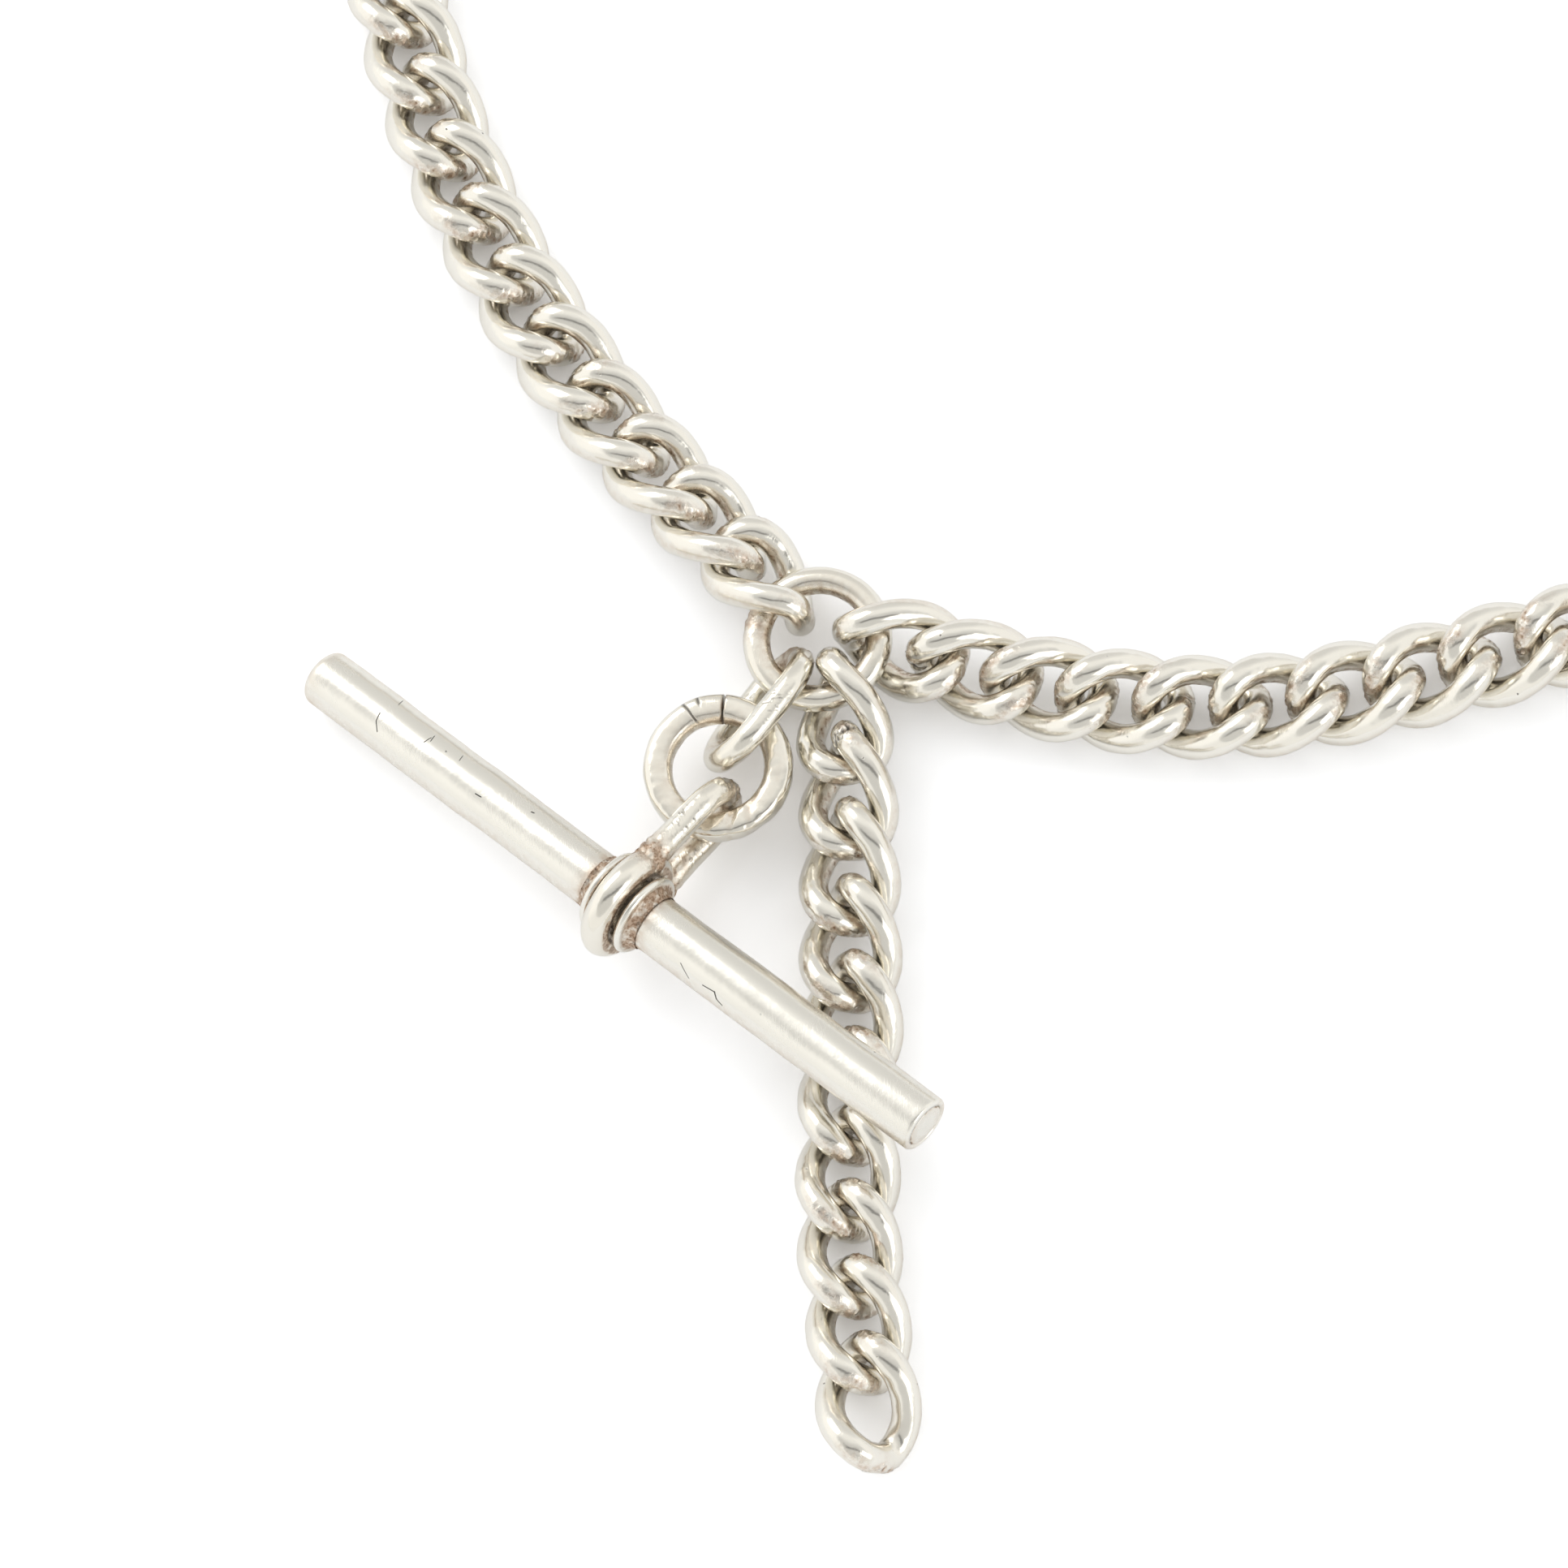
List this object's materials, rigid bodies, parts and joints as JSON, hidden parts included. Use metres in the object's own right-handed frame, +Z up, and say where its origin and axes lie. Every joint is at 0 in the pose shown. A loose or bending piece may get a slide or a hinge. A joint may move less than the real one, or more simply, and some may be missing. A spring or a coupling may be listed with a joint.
{
  "type": "pocket watch chain",
  "caption": "Silver curb-link double Albert watch chain with a centre ring, a T-bar on a swivel, a hanging drop and a swivel clip at the end of each arm.",
  "frame": {"origin": "on the table under the middle of the centre ring", "axes": "+X to the right arm and +Y up the picture to the left arm, with the drop towards -Y; +Z up off the table"},
  "size_m": [0.1237, 0.1315, 0.009],
  "materials": {
    "chain_silver": "worn polished silver",
    "ring_silver": "worn polished silver with tarnish at the solder",
    "bar_silver": "polished silver tube",
    "clip_silver": "worn polished silver",
    "spring_steel": "bare spring steel"
  },
  "bodies": {
    "centre_ring": {"centre_ring": "ring_silver"},
    "left_link_01": {"left_link_01": "chain_silver"},
    "left_link_02": {"left_link_02": "chain_silver"},
    "left_link_03": {"left_link_03": "chain_silver"},
    "left_link_04": {"left_link_04": "chain_silver"},
    "left_link_05": {"left_link_05": "chain_silver"},
    "left_link_06": {"left_link_06": "chain_silver"},
    "left_link_07": {"left_link_07": "chain_silver"},
    "left_link_08": {"left_link_08": "chain_silver"},
    "left_link_09": {"left_link_09": "chain_silver"},
    "left_link_10": {"left_link_10": "chain_silver"},
    "left_link_11": {"left_link_11": "chain_silver"},
    "left_link_12": {"left_link_12": "chain_silver"},
    "left_link_13": {"left_link_13": "chain_silver"},
    "left_link_14": {"left_link_14": "chain_silver"},
    "left_clip_ring": {"left_clip_end_ring": "clip_silver"},
    "left_clip_eye": {"left_clip_eye": "clip_silver"},
    "left_clip_hook": {"left_clip_hook": "clip_silver", "left_clip_gate_pin": "clip_silver", "left_clip_gate_spring": "spring_steel"},
    "left_clip_gate": {"left_clip_gate": "clip_silver"},
    "right_link_01": {"right_link_01": "chain_silver"},
    "right_link_02": {"right_link_02": "chain_silver"},
    "right_link_03": {"right_link_03": "chain_silver"},
    "right_link_04": {"right_link_04": "chain_silver"},
    "right_link_05": {"right_link_05": "chain_silver"},
    "right_link_06": {"right_link_06": "chain_silver"},
    "right_link_07": {"right_link_07": "chain_silver"},
    "right_link_08": {"right_link_08": "chain_silver"},
    "right_link_09": {"right_link_09": "chain_silver"},
    "right_link_10": {"right_link_10": "chain_silver"},
    "right_link_11": {"right_link_11": "chain_silver"},
    "right_link_12": {"right_link_12": "chain_silver"},
    "right_link_13": {"right_link_13": "chain_silver"},
    "right_link_14": {"right_link_14": "chain_silver"},
    "right_clip_ring": {"right_clip_end_ring": "clip_silver"},
    "right_clip_eye": {"right_clip_eye": "clip_silver"},
    "right_clip_hook": {"right_clip_hook": "clip_silver", "right_clip_gate_pin": "clip_silver", "right_clip_gate_spring": "spring_steel"},
    "right_clip_gate": {"right_clip_gate": "clip_silver"},
    "drop_link_01": {"drop_link_01": "chain_silver"},
    "drop_link_02": {"drop_link_02": "chain_silver"},
    "drop_link_03": {"drop_link_03": "chain_silver"},
    "drop_link_04": {"drop_link_04": "chain_silver"},
    "drop_link_05": {"drop_link_05": "chain_silver"},
    "drop_link_06": {"drop_link_06": "chain_silver"},
    "drop_link_07": {"drop_link_07": "chain_silver"},
    "drop_link_08": {"drop_link_08": "chain_silver"},
    "drop_link_09": {"drop_link_09": "chain_silver"},
    "drop_link_10": {"drop_link_10": "chain_silver"},
    "oval": {"oval_link": "ring_silver"},
    "jump": {"jump_ring": "ring_silver"},
    "swivel": {"swivel_ring": "ring_silver", "bail_loop": "ring_silver"},
    "bar": {"bar_tube": "bar_silver", "bar_collar_left": "bar_silver", "bar_collar_right": "bar_silver", "bar_plug_left": "bar_silver", "bar_plug_right": "bar_silver"}
  },
  "joints": [
    {"name": "left_01_hook", "type": "hinge", "parent": "centre_ring", "child": "left_link_01", "pos_m": [-0.00226, 0.00269, 0.003], "axis": [-0.766, -0.6428, 0], "range_deg": [-20, 41]},
    {"name": "left_02_swing", "type": "hinge", "parent": "left_link_01", "child": "left_link_02", "pos_m": [-0.00469, 0.00526, 0.0028], "axis": [0, 0, 1], "range_deg": [-15, 11]},
    {"name": "left_03_fold", "type": "hinge", "parent": "left_link_02", "child": "left_link_03", "pos_m": [-0.00774, 0.00846, 0.0026], "axis": [-0.7342, -0.6789, 0], "range_deg": [-13, 13]},
    {"name": "left_04_swing", "type": "hinge", "parent": "left_link_03", "child": "left_link_04", "pos_m": [-0.01074, 0.0117, 0.00241], "axis": [0, 0, 1], "range_deg": [-12, 16]},
    {"name": "left_05_fold", "type": "hinge", "parent": "left_link_04", "child": "left_link_05", "pos_m": [-0.01351, 0.01515, 0.00221], "axis": [-0.8137, -0.5813, 0], "range_deg": [-12, 14]},
    {"name": "left_06_swing", "type": "hinge", "parent": "left_link_05", "child": "left_link_06", "pos_m": [-0.01608, 0.01874, 0.00211], "axis": [0, 0, 1], "range_deg": [-14, 16]},
    {"name": "left_07_fold", "type": "hinge", "parent": "left_link_06", "child": "left_link_07", "pos_m": [-0.01844, 0.02248, 0.00211], "axis": [-0.873, -0.4876, 0], "range_deg": [-14, 14]},
    {"name": "left_08_swing", "type": "hinge", "parent": "left_link_07", "child": "left_link_08", "pos_m": [-0.0206, 0.02634, 0.00211], "axis": [0, 0, 1], "range_deg": [-16, 16]},
    {"name": "left_09_fold", "type": "hinge", "parent": "left_link_08", "child": "left_link_09", "pos_m": [-0.02246, 0.03034, 0.00211], "axis": [-0.9409, -0.3388, 0], "range_deg": [-14, 13]},
    {"name": "left_10_swing", "type": "hinge", "parent": "left_link_09", "child": "left_link_10", "pos_m": [-0.02396, 0.0345, 0.00211], "axis": [0, 0, 1], "range_deg": [-16, 16]},
    {"name": "left_11_fold", "type": "hinge", "parent": "left_link_10", "child": "left_link_11", "pos_m": [-0.02525, 0.03873, 0.00211], "axis": [-0.9713, -0.2379, 0], "range_deg": [-14, 14]},
    {"name": "left_12_swing", "type": "hinge", "parent": "left_link_11", "child": "left_link_12", "pos_m": [-0.0263, 0.04302, 0.00211], "axis": [0, 0, 1], "range_deg": [-16, 16]},
    {"name": "left_13_fold", "type": "hinge", "parent": "left_link_12", "child": "left_link_13", "pos_m": [-0.02712, 0.04737, 0.00211], "axis": [-0.9981, -0.0619, 0], "range_deg": [-11, 16]},
    {"name": "left_14_swing", "type": "hinge", "parent": "left_link_13", "child": "left_link_14", "pos_m": [-0.02739, 0.05178, 0.00233], "axis": [0, 0, 1], "range_deg": [-16, 16]},
    {"name": "left_clip_ring_swing", "type": "hinge", "parent": "left_link_14", "child": "left_clip_ring", "pos_m": [-0.02745, 0.0562, 0.00254], "axis": [-0.5305, 0.0343, -0.847], "range_deg": [-23, 20]},
    {"name": "left_clip_eye_swing", "type": "hinge", "parent": "left_clip_ring", "child": "left_clip_eye", "pos_m": [-0.02752, 0.0608, 0.00254], "axis": [-0.707, -0.01, 0.7071], "range_deg": [-80, 80]},
    {"name": "left_clip_swivel", "type": "hinge", "parent": "left_clip_eye", "child": "left_clip_hook", "pos_m": [-0.02756, 0.064, 0.00254], "axis": [-0.0141, 0.9999, 0], "continuous": true},
    {"name": "left_clip_gate_open", "type": "hinge", "parent": "left_clip_hook", "child": "left_clip_gate", "pos_m": [-0.02471, 0.06744, 0.00254], "axis": [0, 0, 1], "range_deg": [0, 28], "stiffness_Nm_per_rad": 0.004, "springref_deg": -11.46, "deforming": ["left_clip_gate_spring"]},
    {"name": "right_01_hook", "type": "hinge", "parent": "centre_ring", "child": "right_link_01", "pos_m": [0.00351, 0.00018, 0.003], "axis": [-0.0523, 0.9986, 0], "range_deg": [-80, 9]},
    {"name": "right_02_swing", "type": "hinge", "parent": "right_link_01", "child": "right_link_02", "pos_m": [0.00684, -0.00117, 0.0028], "axis": [0, 0, 1], "range_deg": [-13, 13]},
    {"name": "right_03_fold", "type": "hinge", "parent": "right_link_02", "child": "right_link_03", "pos_m": [0.01105, -0.00254, 0.0026], "axis": [0.2146, 0.9767, 0], "range_deg": [-12, 11]},
    {"name": "right_04_swing", "type": "hinge", "parent": "right_link_03", "child": "right_link_04", "pos_m": [0.01536, -0.00349, 0.00241], "axis": [0, 0, 1], "range_deg": [-16, 10]},
    {"name": "right_05_fold", "type": "hinge", "parent": "right_link_04", "child": "right_link_05", "pos_m": [0.01974, -0.00412, 0.00221], "axis": [0.0371, 0.9993, 0], "range_deg": [-10, 12]},
    {"name": "right_06_swing", "type": "hinge", "parent": "right_link_05", "child": "right_link_06", "pos_m": [0.02416, -0.00429, 0.00211], "axis": [0, 0, 1], "range_deg": [-16, 11]},
    {"name": "right_07_fold", "type": "hinge", "parent": "right_link_06", "child": "right_link_07", "pos_m": [0.02855, -0.00383, 0.00211], "axis": [-0.201, 0.9796, 0], "range_deg": [-13, 14]},
    {"name": "right_08_swing", "type": "hinge", "parent": "right_link_07", "child": "right_link_08", "pos_m": [0.03288, -0.00294, 0.00211], "axis": [0, 0, 1], "range_deg": [-16, 16]},
    {"name": "right_09_fold", "type": "hinge", "parent": "right_link_08", "child": "right_link_09", "pos_m": [0.03716, -0.00182, 0.00211], "axis": [-0.2573, 0.9663, 0], "range_deg": [-14, 14]},
    {"name": "right_10_swing", "type": "hinge", "parent": "right_link_09", "child": "right_link_10", "pos_m": [0.04143, -0.00068, 0.00211], "axis": [0, 0, 1], "range_deg": [-16, 16]},
    {"name": "right_11_fold", "type": "hinge", "parent": "right_link_10", "child": "right_link_11", "pos_m": [0.04574, 0.00028, 0.00211], "axis": [-0.1673, 0.9859, 0], "range_deg": [-14, 14]},
    {"name": "right_12_swing", "type": "hinge", "parent": "right_link_11", "child": "right_link_12", "pos_m": [0.0501, 0.00101, 0.00211], "axis": [0, 0, 1], "range_deg": [-16, 16]},
    {"name": "right_13_fold", "type": "hinge", "parent": "right_link_12", "child": "right_link_13", "pos_m": [0.05449, 0.00156, 0.00211], "axis": [-0.0168, 0.9999, 0], "range_deg": [-11, 16]},
    {"name": "right_14_swing", "type": "hinge", "parent": "right_link_13", "child": "right_link_14", "pos_m": [0.05891, 0.00163, 0.00233], "axis": [0, 0, 1], "range_deg": [-16, 16]},
    {"name": "right_clip_ring_swing", "type": "hinge", "parent": "right_link_14", "child": "right_clip_ring", "pos_m": [0.06333, 0.00164, 0.00254], "axis": [0.0406, 0.53, -0.847], "range_deg": [-23, 20]},
    {"name": "right_clip_eye_swing", "type": "hinge", "parent": "right_clip_ring", "child": "right_clip_eye", "pos_m": [0.06793, 0.00165, 0.00254], "axis": [-0.0016, 0.7071, 0.7071], "range_deg": [-80, 80]},
    {"name": "right_clip_swivel", "type": "hinge", "parent": "right_clip_eye", "child": "right_clip_hook", "pos_m": [0.07113, 0.00166, 0.00254], "axis": [1, 0.0022, 0], "continuous": true},
    {"name": "right_clip_gate_open", "type": "hinge", "parent": "right_clip_hook", "child": "right_clip_gate", "pos_m": [0.07453, -0.00123, 0.00254], "axis": [0, 0, 1], "range_deg": [0, 28], "stiffness_Nm_per_rad": 0.004, "springref_deg": -11.46, "deforming": ["right_clip_gate_spring"]},
    {"name": "drop_01_hook", "type": "hinge", "parent": "centre_ring", "child": "drop_link_01", "pos_m": [0.00143, -0.00321, 0.003], "axis": [-0.9135, -0.4067, 0], "range_deg": [-14, 0]},
    {"name": "drop_02_swing", "type": "hinge", "parent": "drop_link_01", "child": "drop_link_02", "pos_m": [0.00176, -0.00677, 0.0028], "axis": [0, 0, -1], "range_deg": [-16, 7]},
    {"name": "drop_03_fold", "type": "hinge", "parent": "drop_link_02", "child": "drop_link_03", "pos_m": [0.00192, -0.01118, 0.0026], "axis": [-0.9997, -0.0232, 0], "range_deg": [-13, 0]},
    {"name": "drop_04_swing", "type": "hinge", "parent": "drop_link_03", "child": "drop_link_04", "pos_m": [0.00202, -0.0156, 0.00241], "axis": [0, 0, -1], "range_deg": [-15, 15]},
    {"name": "drop_05_fold", "type": "hinge", "parent": "drop_link_04", "child": "drop_link_05", "pos_m": [0.00211, -0.02002, 0.00221], "axis": [-0.9999, -0.0166, 0], "range_deg": [-15, 7]},
    {"name": "drop_06_swing", "type": "hinge", "parent": "drop_link_05", "child": "drop_link_06", "pos_m": [0.00218, -0.02444, 0.00211], "axis": [0, 0, -1], "range_deg": [-16, 16]},
    {"name": "drop_07_fold", "type": "hinge", "parent": "drop_link_06", "child": "drop_link_07", "pos_m": [0.00216, -0.02886, 0.00211], "axis": [-0.9997, 0.0261, 0], "range_deg": [-14, 14]},
    {"name": "drop_08_swing", "type": "hinge", "parent": "drop_link_07", "child": "drop_link_08", "pos_m": [0.00205, -0.03328, 0.00211], "axis": [0, 0, -1], "range_deg": [-14, 16]},
    {"name": "drop_09_fold", "type": "hinge", "parent": "drop_link_08", "child": "drop_link_09", "pos_m": [0.00245, -0.03768, 0.00211], "axis": [-0.9878, -0.1554, 0], "range_deg": [-14, 14]},
    {"name": "drop_10_swing", "type": "hinge", "parent": "drop_link_09", "child": "drop_link_10", "pos_m": [0.00314, -0.04205, 0.00211], "axis": [0, 0, -1], "range_deg": [-16, 16]},
    {"name": "oval_lift", "type": "hinge", "parent": "centre_ring", "child": "oval", "pos_m": [-0.00249, -0.00249, 0.003], "axis": [-0.7071, 0.7071, 0], "range_deg": [0, 6]},
    {"name": "jump_ring_swing", "type": "hinge", "parent": "oval", "child": "jump", "pos_m": [-0.00364, -0.00469, 0.00331], "axis": [0.4463, -0.1811, 0.8764], "range_deg": [-15, 4]},
    {"name": "bail_lift", "type": "hinge", "parent": "jump", "child": "swivel", "pos_m": [-0.00645, -0.011, 0.00331], "axis": [-0.9658, 0.2595, 0], "range_deg": [0, 80]},
    {"name": "bar_turn", "type": "hinge", "parent": "swivel", "child": "bar", "pos_m": [-0.01043, -0.01582, 0.00466], "axis": [0.779, -0.6152, 0.121], "continuous": true}
  ]
}
